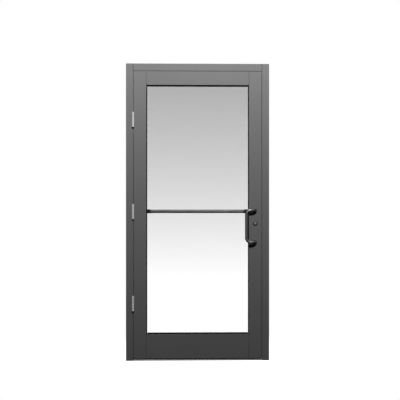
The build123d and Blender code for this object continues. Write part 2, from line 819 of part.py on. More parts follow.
# Dead bolt, drawn back, with the flared notch that the lever works in
bolt_x = (tip_x - notch_half - bolt_bar_tail, leaf_right - bolt_bar_recess)
dead_bolt = box(bolt_x, bolt_y, bolt_z)
notch_low = lock_height - lever_radius - lever_tip - notch_gap
notch_bend = bolt_top - notch_neck
notch = outline(
    [
        (tip_x - notch_half - notch_flare, bolt_top + slack),
        (tip_x - notch_half - notch_flare, bolt_top),
        (tip_x - notch_half, notch_bend),
        (tip_x - notch_half, notch_low),
        (tip_x + notch_half, notch_low),
        (tip_x + notch_half, notch_bend),
        (tip_x + notch_half + notch_flare, bolt_top),
        (tip_x + notch_half + notch_flare, bolt_top + slack),
    ]
)
save("dead_bolt", dead_bolt - along_y(notch, grown(bolt_y, slack)))

# Pull: one round bar bent four times
pull_x = fixing_right - pull_offset
pull_y = front - pull_stand
pull_arm_bend = min(pull_stand * pull_arm_stand_share, pull_offset * pull_arm_offset_share)
pull_grip_bend = (pull_offset - pull_arm_bend) * pull_grip_bend_share
pull_path = FilletPolyline(
    (fixing_right, front, pull_top),
    (fixing_right, pull_y, pull_top),
    (pull_x, pull_y, pull_top),
    (pull_x, pull_y, pull_bottom),
    (fixing_right, pull_y, pull_bottom),
    (fixing_right, front, pull_bottom),
    radius=[pull_arm_bend, pull_grip_bend, pull_grip_bend, pull_arm_bend],
)
pull = sweep(Plane(origin=pull_path @ 0, z_dir=pull_path % 0) * Circle(pull_radius), path=pull_path)
for height in (pull_top, pull_bottom):
    pull -= rod_y(fixing_right, height, bolt_radius, (front - bolt_depth - bolt_spare, front + slack))
save("pull_handle", pull)

# Push bar in two elbow brackets
bar_y = leaf_rear + bar_stand
mouth = fixing_right - socket_reach
bar_span = (-mouth - bar_grip, mouth + bar_grip)
push_bar = rod_x(bar_y, bar_height, bar_radius, bar_span)
push_bar -= rod_x(bar_y, bar_height, bar_radius - bar_skin, grown(bar_span, slack))
save("push_bar", push_bar)


def bracket(side):
    foot = side * fixing_right
    lip = side * mouth
    bend = socket_bend_share * min(bar_stand, socket_reach)
    corners = [(foot, leaf_rear, bar_height), (foot, bar_y, bar_height), (lip, bar_y, bar_height)]
    path = FilletPolyline(*corners, radius=bend)
    body = sweep(Plane(origin=path @ 0, z_dir=path % 0) * Circle(socket_radius), path=path)
    flange = rod_y(foot, bar_height, flange_radius, (leaf_rear, leaf_rear + flange_height))
    flange = chamfer(flange.edges().filter_by(GeomType.CIRCLE).group_by(Axis.Y)[-1], flange_ease)
    body += flange
    bore = sorted((lip - side * slack, lip + side * (bar_grip + bolt_spare)))
    body -= rod_x(bar_y, bar_height, bar_radius + bar_fit, bore)
    tapped = (leaf_rear - slack, leaf_rear + bolt_depth + bolt_spare)
    return body - rod_y(foot, bar_height, bolt_radius, tapped)


save("push_bar_brackets", group([bracket(-1), bracket(1)]))

# Bolts with their heads inside the stiles: two into the pull, one into each bracket
handle_bolts = []
for height in (pull_top, pull_bottom):
    seat = front + wall
    bolt = rod_y(fixing_right, height, bolt_radius, (front - bolt_depth, seat))
    handle_bolts.append(bolt + rod_y(fixing_right, height, bolt_head, (seat, seat + bolt_head_height)))
for x in (fixing_left, fixing_right):
    seat = leaf_rear - wall
    bolt = rod_y(x, bar_height, bolt_radius, (seat, leaf_rear + bolt_depth))
    handle_bolts.append(bolt + rod_y(x, bar_height, bolt_head, (seat - bolt_head_height, seat)))
save("handle_bolts", group(handle_bolts))

# Sweep: a carrier with a rubber blade that brushes the threshold
sweep_x = (left_face + stop_proud + sweep_end_gap, right_face - stop_proud - sweep_end_gap)
sweep_z = (leaf_bottom + sweep_lift, leaf_bottom + sweep_lift + sweep_height)
carrier = patch((leaf_rear, leaf_rear + sweep_thickness), sweep_z)
carrier = eased(carrier, [(leaf_rear + sweep_thickness, z) for z in sweep_z], sweep_ease)
slot_y = (
    leaf_rear + (sweep_thickness - blade_thickness) / 2,
    leaf_rear + (sweep_thickness + blade_thickness) / 2,
)
slot_z = (sweep_z[0] - slack, sweep_z[0] + blade_slot)
save("sweep_carrier", along_x(carrier - patch(slot_y, slot_z), sweep_x))
blade_z = (threshold_height + blade_touch, slot_z[1] - blade_fit)
save("sweep_blade", box(sweep_x, grown(slot_y, -blade_fit), blade_z))
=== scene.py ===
# A glazed door leaf in its frame. Around the imported solids this adds their finishes, screw heads, sealant,
# black caps under the hinges as painted shadow, light, floor and camera.
import math

import bpy
import numpy as np
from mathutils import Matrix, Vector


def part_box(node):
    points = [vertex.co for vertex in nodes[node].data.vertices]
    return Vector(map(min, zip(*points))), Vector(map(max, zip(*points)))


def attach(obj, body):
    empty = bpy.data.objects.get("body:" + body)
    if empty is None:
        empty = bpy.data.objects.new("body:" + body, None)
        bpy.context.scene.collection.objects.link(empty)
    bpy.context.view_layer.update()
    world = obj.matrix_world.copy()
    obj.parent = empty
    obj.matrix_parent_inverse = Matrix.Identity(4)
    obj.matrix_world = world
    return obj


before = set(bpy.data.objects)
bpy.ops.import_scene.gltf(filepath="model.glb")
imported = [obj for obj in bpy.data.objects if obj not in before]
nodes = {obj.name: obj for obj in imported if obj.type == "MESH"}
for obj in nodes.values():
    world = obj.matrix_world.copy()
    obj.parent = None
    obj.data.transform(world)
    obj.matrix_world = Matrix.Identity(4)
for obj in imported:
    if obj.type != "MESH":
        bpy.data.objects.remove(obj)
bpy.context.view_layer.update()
scene = bpy.context.scene
mm = 0.001
print("frame loaded,", len(nodes), "nodes")


def linear(code):  # an sRGB hex value as linear red, green, blue and alpha
    parts = np.array([int(code[i:i + 2], 16) for i in (1, 3, 5)]) / 255
    return (*np.where(parts > 0.04045, ((parts + 0.055) / 1.055) ** 2.4, parts / 12.92), 1.0)


def addNode(tree, kind, settings=None, links=None):  # one node with its settings and what feeds it
    node = tree.nodes.new(kind)
    for key, value in (settings or {}).items():
        if isinstance(key, int) or key in node.inputs:
            node.inputs[key].default_value = value
        else:
            setattr(node, key, value)
    for key, source in (links or {}).items():
        tree.links.new(source, node.inputs[key])
    return node


def newMaterial(name):  # an empty node tree under that name
    material = bpy.data.materials.new(name)
    material.use_nodes = True
    material.node_tree.nodes.clear()
    return material, material.node_tree


# Powder coat

frameCoatLook = {
    "dark": "#535353", "light": "#595959",
    "driftSize": 260 * mm,
    "peelSize": 2.4 * mm, "peelDepth": 0.035 * mm,  # real peel is nearer 1 mm, drawn coarser to show
    "roughness": (0.55, 0.66), "shine": 0.10, "offset": (0.0, 0.0, 0.0),
}
leafCoatLook = dict(frameCoatLook, offset=(3.1, 1.7, 0.4))
sillPaintedLightLook = dict(frameCoatLook, dark="#989898", light="#a0a0a0", driftSize=60 * mm, roughness=(0.48, 0.60),
                    offset=(5.3, 2.9, 1.6))  # a paler coat, partly the sill's own, partly painted light lifting the leaf's shade on its front


def powderCoat(name, look):
    # Polyester powder baked on extruded aluminium: a satin skin with a fine orange peel that breaks up
    # highlights, and a tone that drifts a little with the thickness of the film.
    material, tree = newMaterial(name)
    where = addNode(tree, "ShaderNodeTexCoord").outputs["Object"]
    moved = addNode(tree, "ShaderNodeMapping", {"Location": look["offset"]}, {"Vector": where}).outputs[0]
    drift = addNode(tree, "ShaderNodeTexNoise", {"Scale": 1 / look["driftSize"], "Detail": 3.0}, {"Vector": moved})
    peel = addNode(tree, "ShaderNodeTexNoise", {"Scale": 1 / look["peelSize"], "Detail": 1.0}, {"Vector": moved})
    tone = addNode(tree, "ShaderNodeMix", {"data_type": "RGBA", 6: linear(look["dark"]), 7: linear(look["light"])},
                   {0: drift.outputs[0]})
    gloss = addNode(tree, "ShaderNodeMapRange", {"To Min": look["roughness"][0], "To Max": look["roughness"][1]},
                    {"Value": peel.outputs[0]})
    bump = addNode(tree, "ShaderNodeBump", {"Strength": 0.6, "Distance": look["peelDepth"]},
                   {"Height": peel.outputs[0]})
    shader = addNode(tree, "ShaderNodeBsdfPrincipled", {"IOR": 1.5, "Specular IOR Level": look["shine"]},
                     {"Base Color": tone.outputs[2], "Roughness": gloss.outputs[0], "Normal": bump.outputs[0]})
    addNode(tree, "ShaderNodeOutputMaterial", links={"Surface": shader.outputs[0]})
    return material


# Black enamel of the pull and the brackets, the brackets darker still as painted shade

pullCoatLook = {
    "dark": "#181818", "light": "#1e1e1e", "driftSize": 60 * mm, "grainSize": 1.5 * mm, "grainDepth": 0.012 * mm,
    "roughness": (0.30, 0.40), "shine": 1.0, "offset": (0.7, 0.2, 0.9),
}
# The brackets' jet black is partly their own enamel, partly painted shade where the stiles shadow the bar's ends.
bracketPaintedShadeLook = dict(pullCoatLook, dark="#0a0a0a", light="#101010", shine=0.1, offset=(1.1, 3.2, 2.3))


def bakedEnamel(name, look):
    # Baked enamel on bent steel bar: smoother than powder, so a narrow bright line runs along the top of the bar.
    material, tree = newMaterial(name)
    where = addNode(tree, "ShaderNodeTexCoord").outputs["Object"]
    moved = addNode(tree, "ShaderNodeMapping", {"Location": look["offset"]}, {"Vector": where}).outputs[0]
    drift = addNode(tree, "ShaderNodeTexNoise", {"Scale": 1 / look["driftSize"], "Detail": 2.0}, {"Vector": moved})
    grain = addNode(tree, "ShaderNodeTexNoise", {"Scale": 1 / look["grainSize"], "Detail": 2.0}, {"Vector": moved})
    tone = addNode(tree, "ShaderNodeMix", {"data_type": "RGBA", 6: linear(look["dark"]), 7: linear(look["light"])},
                   {0: drift.outputs[0]})
    gloss = addNode(tree, "ShaderNodeMapRange", {"To Min": look["roughness"][0], "To Max": look["roughness"][1]},
                    {"Value": drift.outputs[0]})
    bump = addNode(tree, "ShaderNodeBump", {"Strength": 0.4, "Distance": look["grainDepth"]},
                   {"Height": grain.outputs[0]})
    shader = addNode(tree, "ShaderNodeBsdfPrincipled", {"IOR": 1.5, "Specular IOR Level": look["shine"]},
                     {"Base Color": tone.outputs[2], "Roughness": gloss.outputs[0], "Normal": bump.outputs[0]})
    addNode(tree, "ShaderNodeOutputMaterial", links={"Surface": shader.outputs[0]})
    return material


# Metals

hingeSteelLook = {
    "dark": "#a6a6a4", "light": "#bababa", "grain": (30 * mm, 30 * mm, 0.5 * mm), "grainDepth": 0.006 * mm,
    "roughness": (0.78, 0.90),  # bead-blasted, with faint lines round the knuckles
}
lockSteelLook = dict(hingeSteelLook, grain=(0.5 * mm, 0.5 * mm, 40 * mm),
                     roughness=(0.26, 0.38))  # brushed, lines run up the plate
plugHighlightLook = {
    "dark": "#7e7e7c", "light": "#8f8f8c", "grain": (4 * mm, 0.4 * mm, 4 * mm), "grainDepth": 0.005 * mm,
    "roughness": (0.28, 0.40),  # turned, then plated, kept lighter than its ring as painted highlight
}
cylinderShadeLook = dict(plugHighlightLook, dark="#4c4c4b", light="#5a5a58")  # the same plating darkened as painted shade round the plug
barLook = {
    "dark": "#5a5a5a", "light": "#626262", "grain": (70 * mm, 0.6 * mm, 0.6 * mm), "grainDepth": 0.002 * mm,
    "roughness": (0.36, 0.42),  # lines run along the bar
}
zincLook = {
    "dark": "#8f9396", "light": "#b4b7b8", "grain": (3 * mm, 3 * mm, 3 * mm), "grainDepth": 0.010 * mm,
    "roughness": (0.34, 0.50),  # spangle of bright zinc
}
extrudedLook = {
    "dark": "#a6a8aa", "light": "#b9bbbd", "grain": (60 * mm, 0.6 * mm, 0.6 * mm), "grainDepth": 0.006 * mm,
    "roughness": (0.38, 0.52),  # die lines along the length
}


def workedMetal(name, look):
    # Bare or plated metal: the tool that worked it leaves fine lines or spangle, as long and as wide as the grain
    # gives, which stretch and soften what the metal mirrors.
    material, tree = newMaterial(name)
    where = addNode(tree, "ShaderNodeTexCoord").outputs["Object"]
    stretched = addNode(tree, "ShaderNodeMapping", {"Scale": [1 / size for size in look["grain"]]},
                        {"Vector": where}).outputs[0]
    lines = addNode(tree, "ShaderNodeTexNoise", {"Scale": 1.0, "Detail": 3.0, "Roughness": 0.6},
                    {"Vector": stretched})
    tone = addNode(tree, "ShaderNodeMix", {"data_type": "RGBA", 6: linear(look["dark"]), 7: linear(look["light"])},
                   {0: lines.outputs[0]})
    gloss = addNode(tree, "ShaderNodeMapRange", {"To Min": look["roughness"][0], "To Max": look["roughness"][1]},
                    {"Value": lines.outputs[0]})
    bump = addNode(tree, "ShaderNodeBump", {"Strength": 0.5, "Distance": look["grainDepth"]},
                   {"Height": lines.outputs[0]})
    shader = addNode(tree, "ShaderNodeBsdfPrincipled", {"Metallic": 1.0},
                     {"Base Color": tone.outputs[2], "Roughness": gloss.outputs[0], "Normal": bump.outputs[0]})
    addNode(tree, "ShaderNodeOutputMaterial", links={"Surface": shader.outputs[0]})
    return material


# Rubber

gasketLook = {
    "dark": "#050505", "light": "#0b0b0b", "bloomSize": 35 * mm, "skinSize": 1.2 * mm, "skinDepth": 0.03 * mm,
    "roughness": (0.62, 0.82), "shine": 0.05,  # dull, so that it stays black in the key light
}
sealLook = dict(gasketLook, dark="#080808", light="#101010")
sealantLook = dict(gasketLook, bloomSize=20 * mm, skinSize=4 * mm, skinDepth=0.05 * mm,
                   roughness=(0.50, 0.70))  # wiped smooth, in long ripples
paintedShadowLook = dict(gasketLook, bloomSize=8 * mm, skinSize=0.8 * mm, skinDepth=0.02 * mm,
                 roughness=(0.45, 0.60))  # black as painted shadow under the hinge barrels, with a fine grain


def blackRubber(name, look):
    # Extruded rubber, sealant run into a joint and wiped, or the black caps that paint the shadow under the hinge
    # barrels: almost black and dull, with a faint grey bloom in patches and a slightly rough skin.
    material, tree = newMaterial(name)
    where = addNode(tree, "ShaderNodeTexCoord").outputs["Object"]
    bloom = addNode(tree, "ShaderNodeTexNoise", {"Scale": 1 / look["bloomSize"], "Detail": 4.0}, {"Vector": where})
    skin = addNode(tree, "ShaderNodeTexNoise", {"Scale": 1 / look["skinSize"], "Detail": 2.0}, {"Vector": where})
    tone = addNode(tree, "ShaderNodeMix", {"data_type": "RGBA", 6: linear(look["dark"]), 7: linear(look["light"])},
                   {0: bloom.outputs[0]})
    gloss = addNode(tree, "ShaderNodeMapRange", {"To Min": look["roughness"][0], "To Max": look["roughness"][1]},
                    {"Value": skin.outputs[0]})
    bump = addNode(tree, "ShaderNodeBump", {"Strength": 0.5, "Distance": look["skinDepth"]},
                   {"Height": skin.outputs[0]})
    shader = addNode(tree, "ShaderNodeBsdfPrincipled", {"IOR": 1.5, "Specular IOR Level": look["shine"]},
                     {"Base Color": tone.outputs[2], "Roughness": gloss.outputs[0], "Normal": bump.outputs[0]})
    addNode(tree, "ShaderNodeOutputMaterial", links={"Surface": shader.outputs[0]})
    return material


# Glass

glassLook = {
    "clear": "#fafafa",  # what each face lets through below the painted shade
    "paintedShadeFoot": 0.60, "paintedShadeRate": 0.151,  # height where the painted shade starts, and its strength per face and metre
    "mirrorLeast": 0.004, "waveSize": 180 * mm, "waveDepth": 0.02 * mm, "roughness": 0.02,
}


def floatGlass(name, look):
    # Float glass, flat and clear with a very faint roller wave. A painted shade, standing in for a reflection,
    # greys it more towards the head: each face lets through exp(-rate * height above the shade's foot), and
    # mirrors by Schlick's rule.
    material, tree = newMaterial(name)
    where = addNode(tree, "ShaderNodeTexCoord").outputs["Object"]
    height = addNode(tree, "ShaderNodeSeparateXYZ", links={"Vector": where}).outputs["Z"]
    above = addNode(tree, "ShaderNodeMath", {"operation": "SUBTRACT", 1: look["paintedShadeFoot"]}, {0: height}).outputs[0]
    above = addNode(tree, "ShaderNodeMath", {"operation": "MAXIMUM", 1: 0.0}, {0: above}).outputs[0]
    depth = addNode(tree, "ShaderNodeMath", {"operation": "MULTIPLY", 1: -look["paintedShadeRate"]}, {0: above}).outputs[0]
    passed = addNode(tree, "ShaderNodeMath", {"operation": "EXPONENT"}, {0: depth}).outputs[0]
    tint = addNode(tree, "ShaderNodeMix", {"data_type": "RGBA", 6: (0, 0, 0, 1), 7: linear(look["clear"])},
                   {0: passed}).outputs[2]
    wave = addNode(tree, "ShaderNodeTexNoise", {"Scale": 1 / look["waveSize"], "Detail": 0.0}, {"Vector": where})
    bump = addNode(tree, "ShaderNodeBump", {"Strength": 1.0, "Distance": look["waveDepth"]},
                   {"Height": wave.outputs[0]}).outputs[0]
    facing = addNode(tree, "ShaderNodeLayerWeight", {"Blend": 0.5}, {"Normal": bump}).outputs["Facing"]
    grazing = addNode(tree, "ShaderNodeMath", {"operation": "POWER", 1: 5.0}, {0: facing}).outputs[0]
    mirror = addNode(tree, "ShaderNodeMapRange", {"To Min": look["mirrorLeast"], "To Max": 1.0},
                     {"Value": grazing}).outputs[0]
    clear = addNode(tree, "ShaderNodeBsdfTransparent", links={"Color": tint})
    gloss = addNode(tree, "ShaderNodeBsdfGlossy", {"Roughness": look["roughness"], "Color": (1, 1, 1, 1)},
                    {"Normal": bump})
    both = addNode(tree, "ShaderNodeMixShader", links={0: mirror, 1: clear.outputs[0], 2: gloss.outputs[0]})
    addNode(tree, "ShaderNodeOutputMaterial", links={"Surface": both.outputs[0]})
    return material


finishes = {
    "frame_coat": powderCoat("satinPowderCoatOnFrame", frameCoatLook),
    "leaf_coat": powderCoat("satinPowderCoatOnLeaf", leafCoatLook),
    "handle_coat": bakedEnamel("blackBakedEnamel", pullCoatLook),
    "bar_coat": workedMetal("darkAnodisedAluminium", barLook),
    "bracket_painted_shade": bakedEnamel("jetEnamelWithPaintedShade", bracketPaintedShadeLook),
    "hinge_steel": workedMetal("blastedStainlessSteel", hingeSteelLook),
    "lock_steel": workedMetal("brushedStainlessSteel", lockSteelLook),
    "cylinder_metal": workedMetal("platedBrassPaintedShade", cylinderShadeLook),
    "plug_painted_highlight": workedMetal("platedBrassPaintedHighlight", plugHighlightLook),
    "plain_steel": workedMetal("zincPlatedSteel", zincLook),
    "inner_metal": workedMetal("extrudedAluminium", extrudedLook),
    "threshold_metal": powderCoat("paleSillCoatWithPaintedLight", sillPaintedLightLook),
    "gasket_rubber": blackRubber("extrudedGlazingRubber", gasketLook),
    "seal_rubber": blackRubber("extrudedSealRubber", sealLook),
    "joint_sealant": blackRubber("wipedSiliconeSealant", sealantLook),
    "painted_shadow_cap": blackRubber("paintedShadowBlack", paintedShadowLook),
    "pane_glass": floatGlass("floatGlassWithPaintedShade", glassLook),
}
nodeFinish = {"push_bar_brackets": "bracket_painted_shade", "key_plug": "plug_painted_highlight"}  # nodes that differ from their slot
for name, node in nodes.items():
    for place in node.material_slots:
        place.material = finishes[nodeFinish.get(name, place.material.name)]
print("finishes on", len(nodes), "nodes")


# Meshes of the small pieces

def turnedGrid(radius, height):
    # A closed shape from two arrays, one row for each ring and one column for each angle: the first and last rows
    # have no radius and become the two poles. Rows run from the top of the axis (w) to its bottom.
    rings, spokes = radius.shape
    angle = np.arange(spokes) * (2 * math.pi / spokes)
    u, v = radius * np.cos(angle), radius * np.sin(angle)
    inner = np.stack([u, v, height], -1)[1:-1].reshape(-1, 3)
    points = np.vstack([[[0, 0, height[0, 0]]], inner, [[0, 0, height[-1, 0]]]])
    here = np.arange(spokes)
    there = (here + 1) % spokes
    row = 1 + np.arange(rings - 3)[:, None] * spokes
    quads = np.stack([row + here, row + spokes + here, row + spokes + there, row + there], -1).reshape(-1, 4)
    last = 1 + (rings - 3) * spokes
    top = np.stack([np.zeros_like(here), 1 + here, 1 + there], -1)
    bottom = np.stack([np.full_like(here, len(points) - 1), last + there, last + here], -1)
    return points, quads, np.vstack([top, bottom])


def addPiece(name, clouds, quads, fans, body, finish):
    # One smooth mesh that rides on its body: several clouds of points, each joined by the same faces.
    shift = np.arange(len(clouds))[:, None, None] * clouds.shape[1]
    faces = (quads + shift).reshape(-1, 4).tolist() + (fans + shift).reshape(-1, 3).tolist()
    mesh = bpy.data.meshes.new(name)
    mesh.from_pydata(clouds.reshape(-1, 3).tolist(), [], faces)
    mesh.polygons.foreach_set("use_smooth", np.ones(len(faces), bool))
    mesh.materials.append(finishes[finish])
    piece = bpy.data.objects.new(name, mesh)
    scene.collection.objects.link(piece)
    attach(piece, body)


# Screw heads

plateScrew = {  # number 12 machine screw in hinge, strike and lock plates
    "radius": 4.6 * mm, "rise": 0.55 * mm, "rim": 0.12 * mm, "tuck": 0.02 * mm, "sunk": 2.2 * mm,
    "hub": 0.07, "neck": 0.55,  # first ring of the dome and end of the cone, as shares of the radius
    "recess": 0.55 * mm, "armWidth": 0.16, "armLength": 0.62, "armSlope": 0.10,
    "turnStep": 2.4,  # radians from one head to the next, as if driven by hand
}
sweepScrew = dict(plateScrew, radius=3.4 * mm, sunk=1.6 * mm)
sillScrew = dict(plateScrew, radius=5.2 * mm, sunk=2.4 * mm)


def screwHead(look):
    # Raised countersunk head: a shallow dome rise * (1 - (r / R)^2) above the seat, less a cross recess whose arms
    # fade in over a short slope, then a cone that runs down into the plate.
    spokes, rings = 48, 15
    across = np.concatenate([[0.0], np.linspace(look["hub"], 1.0, rings), [1.0, look["neck"], 0.0]])[:, None]
    across = across * np.ones(spokes)
    angle = np.arange(spokes) * (2 * math.pi / spokes)
    u, v = np.abs(across * np.cos(angle)), np.abs(across * np.sin(angle))
    arm = np.minimum(np.clip((look["armWidth"] - np.minimum(u, v)) / look["armSlope"], 0, 1),
                     np.clip((look["armLength"] - np.maximum(u, v)) / look["armSlope"], 0, 1))
    height = look["rise"] * (1 - across ** 2) + look["rim"] - look["recess"] * arm
    height[-3] = -look["tuck"]
    height[-2:] = -look["sunk"]
    return turnedGrid(across * look["radius"], height)


def screwSet(name, look, places, outward, body, slot):
    # One mesh of the same head at each place: the head's own axis turned to outward, each turned a little further
    # about it than the one before.
    points, quads, fans = screwHead(look)
    axis = np.array(outward, float)
    side = np.cross(axis, [0.0, 0.0, 1.0] if abs(axis[2]) < 0.5 else [1.0, 0.0, 0.0])
    up = np.cross(axis, side)
    spots = np.array(places, float)
    turn = look["turnStep"] * np.arange(len(spots))[:, None]
    u = points[:, 0] * np.cos(turn) - points[:, 1] * np.sin(turn)
    v = points[:, 0] * np.sin(turn) + points[:, 1] * np.cos(turn)
    w = np.broadcast_to(points[:, 2], u.shape)
    clouds = spots[:, None] + u[..., None] * side + v[..., None] * up + w[..., None] * axis
    if np.dot(np.cross(side, up), axis) < 0:  # keeps the faces outwards whichever way the axis points
        quads, fans = quads[:, ::-1], fans[:, ::-1]
    addPiece(name, clouds, quads, fans, body, slot)


hingeScrews = {
    "frontRow": 24 * mm, "rearRow": 9 * mm,  # from the plate's back edge
    "frontReach": 38 * mm, "rearReach": 15 * mm,  # up and down from the plate's middle
}
stripScrews = {
    "plateEnd": 10 * mm, "frontEnd": 10 * mm, "sillEnd": 60 * mm, "sweepEnd": 40 * mm,  # from each end
    "sillCount": 4, "sweepCount": 6,
}

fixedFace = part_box("hinge_jamb_stop")[0].x
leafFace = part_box("hinge_stile")[0].x
fixedSpots, leafSpots = [], []
for level in ("top", "middle", "bottom"):
    low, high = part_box(level + "_hinge_door_leaf")
    middle = (low.z + high.z) / 2
    for row, reach in (("frontRow", "frontReach"), ("rearRow", "rearReach")):
        for way in (1, -1):
            y, z = high.y - hingeScrews[row], middle + way * hingeScrews[reach]
            fixedSpots.append((fixedFace, y, z))
            leafSpots.append((leafFace, y, z))
screwSet("hingeScrewsInJamb", plateScrew, fixedSpots, (1, 0, 0), "frame", "hinge_steel")
screwSet("hingeScrewsInStile", plateScrew, leafSpots, (-1, 0, 0), "leaf", "hinge_steel")

low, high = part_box("strike_plate")
ends = (low.z + stripScrews["plateEnd"], high.z - stripScrews["plateEnd"])
spots = [(low.x, (low.y + high.y) / 2, z) for z in ends]
screwSet("strikeScrews", plateScrew, spots, (-1, 0, 0), "frame", "lock_steel")
low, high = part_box("lock_front")
ends = (low.z + stripScrews["frontEnd"], high.z - stripScrews["frontEnd"])
spots = [(high.x, (low.y + high.y) / 2, z) for z in ends]
screwSet("lockFrontScrews", plateScrew, spots, (1, 0, 0), "leaf", "lock_steel")
low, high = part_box("threshold")
across = np.linspace(low.x + stripScrews["sillEnd"], high.x - stripScrews["sillEnd"], stripScrews["sillCount"])
spots = [(x, (low.y + high.y) / 2, high.z) for x in across]
screwSet("sillScrews", sillScrew, spots, (0, 0, 1), "frame", "plain_steel")
low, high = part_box("sweep_carrier")
across = np.linspace(low.x + stripScrews["sweepEnd"], high.x - stripScrews["sweepEnd"], stripScrews["sweepCount"])
spots = [(x, high.y, (low.z + high.z) / 2) for x in across]
screwSet("sweepScrews", sweepScrew, spots, (0, 1, 0), "leaf", "plain_steel")
print("screw heads placed")


# Sealant in the joints of the frame and of the leaf, and along the glass

railBead = {
    "width": 1.8 * mm, "rise": 0.25 * mm, "sink": 0.25 * mm, "inset": 0.5 * mm,
    "waver": 0.08, "waverLength": 21 * mm,  # share of the width that comes and goes, as a hand-run bead does
}
headBead = dict(railBead, width=2.4 * mm)  # the frame's own joints are wider
glassBead = dict(railBead, width=3.0 * mm, rise=0.8 * mm, sink=0.05 * mm, waver=0.04, waverLength=80 * mm)
gasketLip = {"side": 5.4 * mm, "level": 10.0 * mm}  # what shows of the outer gasket past the stiles and the rails


def sealantBeads(name, look, runs, body):
    # Straight beads on faces that look forward, one for each run from a start to an end. The section is an oval
    # that rises before the face and sinks behind it, its width wavers by a share of itself with
    # sin(distance / length), and both ends are closed flat.
    spokes, rings = 16, 41
    angle = np.arange(spokes) * (2 * math.pi / spokes)
    half = look["width"] / 2
    depth = np.where(np.sin(angle) < 0, look["rise"], look["sink"])
    oval = half * depth / np.hypot(depth * np.cos(angle), half * np.sin(angle))
    inward = np.array([0.0, 1.0, 0.0])
    clouds = []
    for order, (start, end) in enumerate(np.array(runs)):
        length = np.linalg.norm(end - start)
        along = (end - start) / length
        far = np.linspace(length - look["inset"], look["inset"], rings)[[0, *range(rings), -1]][:, None]
        waver = 1 + look["waver"] * np.sin(far / look["waverLength"] + order)
        points, quads, fans = turnedGrid(oval * waver, far * np.ones(spokes))
        clouds.append(start + points @ np.array([np.cross(inward, along), inward, along]))
    addPiece(name, np.array(clouds), quads, fans, body, "joint_sealant")


def upright(x, y, low, high):  # the two ends of a run that stands
    return (x, y, low), (x, y, high)


low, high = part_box("head")
sealantBeads("headJointSealant", headBead, [upright(x, low.y, low.z, high.z) for x in (low.x, high.x)], "frame")
stileEdges = (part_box("hinge_stile")[1].x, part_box("lock_stile")[0].x)
rails = [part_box("bottom_rail"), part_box("top_rail")]
sealantBeads("railJointSealant", railBead,
             [upright(x, low.y, low.z, high.z) for x in stileEdges for low, high in rails], "leaf")
west, east = stileEdges[0] + gasketLip["side"], stileEdges[1] - gasketLip["side"]
foot, top = rails[0][1].z + gasketLip["level"], rails[1][0].z - gasketLip["level"]
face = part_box("outer_pane")[0].y
runs = [upright(west, face, foot, top), upright(east, face, foot, top), ((west, face, top), (east, face, top))]
sealantBeads("glassSealant", glassBead, runs, "leaf")  # the foot of the glass stays open to drain
print("joints and glass sealed")


# Black caps under the hinge barrels: painted shadow, standing in for the shade each barrel casts below it

capLook = {"gap": 0.15 * mm, "radius": 7.0 * mm, "length": 9.5 * mm, "round": 1.5 * mm}


def paintedShadowCaps(name, look, places, body):
    # Black turned plugs hung under the barrels as painted shadow: straight down from the rim, then a quarter
    # circle of the rounding radius into a flat end.
    spokes, steps = 32, 7
    bend = np.linspace(0, math.pi / 2, steps)
    radius = np.concatenate([[0, look["radius"]], look["radius"] - look["round"] * (1 - np.cos(bend)), [0]])
    height = -np.concatenate([[0, 0], look["length"] - look["round"] * (1 - np.sin(bend)), [look["length"]]])
    points, quads, fans = turnedGrid(radius[:, None] * np.ones(spokes), height[:, None] * np.ones(spokes))
    addPiece(name, np.array(places)[:, None] + points, quads, fans, body, "painted_shadow_cap")


ends = []
for level in ("top", "middle", "bottom"):
    low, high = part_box(level + "_hinge_pin")
    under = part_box(level + "_hinge_jamb_leaf")[0].z - capLook["gap"]
    ends.append(((low.x + high.x) / 2, (low.y + high.y) / 2, under))
paintedShadowCaps("hingePaintedShadowCaps", capLook, ends, "frame")
print("pins capped")


# Light

lightLook = {
    "backdrop": 1.00, "throughGlass": 1.21, "diffuse": 0.01,  # white that is seen, and what reaches dull surfaces
    "low": 0.03, "level": 0.65, "overhead": 2.0,  # what shiny surfaces mirror below, ahead and above
    "beside": 0.3,  # share of that to the left and right
    "levelRise": (-0.45, 0.05), "overheadRise": (0.45, 0.75),  # slopes between which those come in
    "frontRise": (0.1, 0.8),  # how far a ray looks to the front or back, from beside to full
    "key": {"place": (0.30, -4.057, 3.20), "radius": 0.12, "power": 3315.0, "grade": 2.72, "mirrored": True},
    "left": {"place": (-2.6, 1.7, 2.6), "radius": 0.5, "power": 620.0, "grade": 0.0, "mirrored": False},
    "right": {"place": (2.6, 1.7, 2.6), "radius": 0.5, "power": 620.0, "grade": 0.0, "mirrored": False},
}


def softLamp(name, look):
    # One round soft lamp, with a graded filter that dims it by exp(grade * drop of the beam).
    lamp = bpy.data.lights.new(name, "POINT")
    lamp.shadow_soft_size = look["radius"]
    lamp.energy = look["power"]
    lamp.use_nodes = True
    tree = lamp.node_tree
    tree.nodes.clear()
    beam = addNode(tree, "ShaderNodeTexCoord").outputs["Normal"]
    drop = addNode(tree, "ShaderNodeSeparateXYZ", links={"Vector": beam}).outputs["Z"]
    depth = addNode(tree, "ShaderNodeMath", {"operation": "MULTIPLY", 1: look["grade"]}, {0: drop}).outputs[0]
    passed = addNode(tree, "ShaderNodeMath", {"operation": "EXPONENT"}, {0: depth}).outputs[0]
    glow = addNode(tree, "ShaderNodeEmission", {"Color": (1, 1, 1, 1)}, {"Strength": passed})
    addNode(tree, "ShaderNodeOutputLight", links={"Surface": glow.outputs[0]})
    holder = bpy.data.objects.new(name, lamp)
    holder.location = look["place"]
    holder.visible_camera = False
    holder.visible_glossy = look["mirrored"]  # the two behind would glare off the top of the frame
    scene.collection.objects.link(holder)


